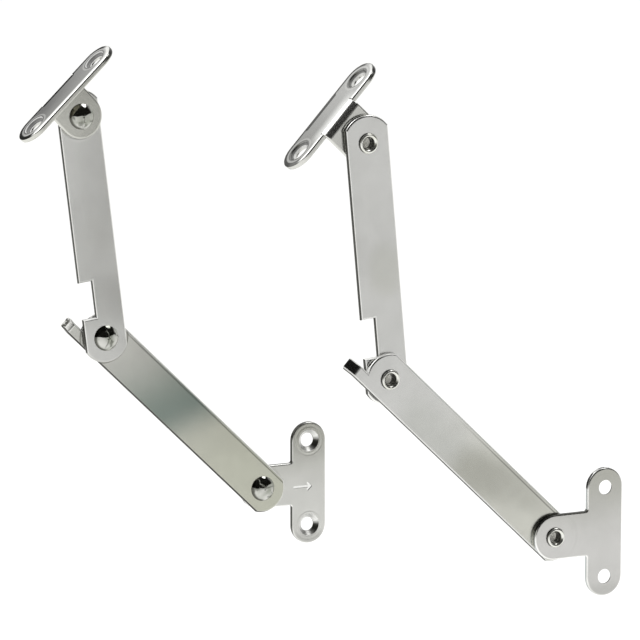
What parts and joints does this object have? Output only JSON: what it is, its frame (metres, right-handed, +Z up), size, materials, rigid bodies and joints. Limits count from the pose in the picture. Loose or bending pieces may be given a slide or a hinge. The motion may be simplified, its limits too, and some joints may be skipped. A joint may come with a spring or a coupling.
{
  "type": "flap stay",
  "caption": "Folding flap stay for a cabinet flap, left and right hand: riveted flat steel arms, T-shaped wall plate, bent flap bracket and a tab-and-notch stop at the elbow.",
  "frame": {"origin": "midway between the two screw holes of the left wall plate, on the face that meets the side panel", "axes": "+X along the side panels towards the wall plates' bars, +Y from the cabinet into the left stay's side panel, +Z up along the line of the wall plate's two holes"},
  "size_m": [0.1811, 0.1269, 0.1915],
  "materials": {
    "sheet_nickel": "bright nickel plate over rolled steel sheet, light grain and handling marks",
    "rivet_nickel": "bright nickel plate, domed and polished"
  },
  "bodies": {
    "wall_plates": {"left_wall_plate": "sheet_nickel", "left_wall_rivet": "rivet_nickel", "right_wall_plate": "sheet_nickel", "right_wall_rivet": "rivet_nickel"},
    "left_lower": {"left_lower_arm": "sheet_nickel", "left_elbow_rivet": "rivet_nickel"},
    "left_upper": {"left_upper_arm": "sheet_nickel", "left_flap_rivet": "rivet_nickel"},
    "left_bracket": {"left_flap_bracket": "sheet_nickel"},
    "right_lower": {"right_lower_arm": "sheet_nickel", "right_elbow_rivet": "rivet_nickel"},
    "right_upper": {"right_upper_arm": "sheet_nickel", "right_flap_rivet": "rivet_nickel"},
    "right_bracket": {"right_flap_bracket": "sheet_nickel"}
  },
  "joints": [
    {"name": "left_wall_pivot", "type": "hinge", "parent": "wall_plates", "child": "left_lower", "pos_m": [-0.02, -0.00205, 0], "axis": [0, -1, 0], "range_deg": [-45.7, 134.3]},
    {"name": "left_elbow", "type": "hinge", "parent": "left_lower", "child": "left_upper", "pos_m": [-0.08334, -0.0041, 0.06181], "axis": [0, -1, 0], "range_deg": [-131.9, 41.7]},
    {"name": "left_flap_pivot", "type": "hinge", "parent": "left_upper", "child": "left_bracket", "pos_m": [-0.09299, -0.00615, 0.14274], "axis": [0, -1, 0], "range_deg": [-100, 100]},
    {"name": "right_wall_pivot", "type": "hinge", "parent": "wall_plates", "child": "right_lower", "pos_m": [0.0353, -0.12295, 0.0005], "axis": [0, -1, 0], "range_deg": [-46.4, 133.6]},
    {"name": "right_elbow", "type": "hinge", "parent": "right_lower", "child": "right_upper", "pos_m": [-0.02879, -0.1209, 0.06153], "axis": [0, -1, 0], "range_deg": [-129.7, 43.9]},
    {"name": "right_flap_pivot", "type": "hinge", "parent": "right_upper", "child": "right_bracket", "pos_m": [-0.03632, -0.11885, 0.14268], "axis": [0, -1, 0], "range_deg": [-100, 100]}
  ]
}
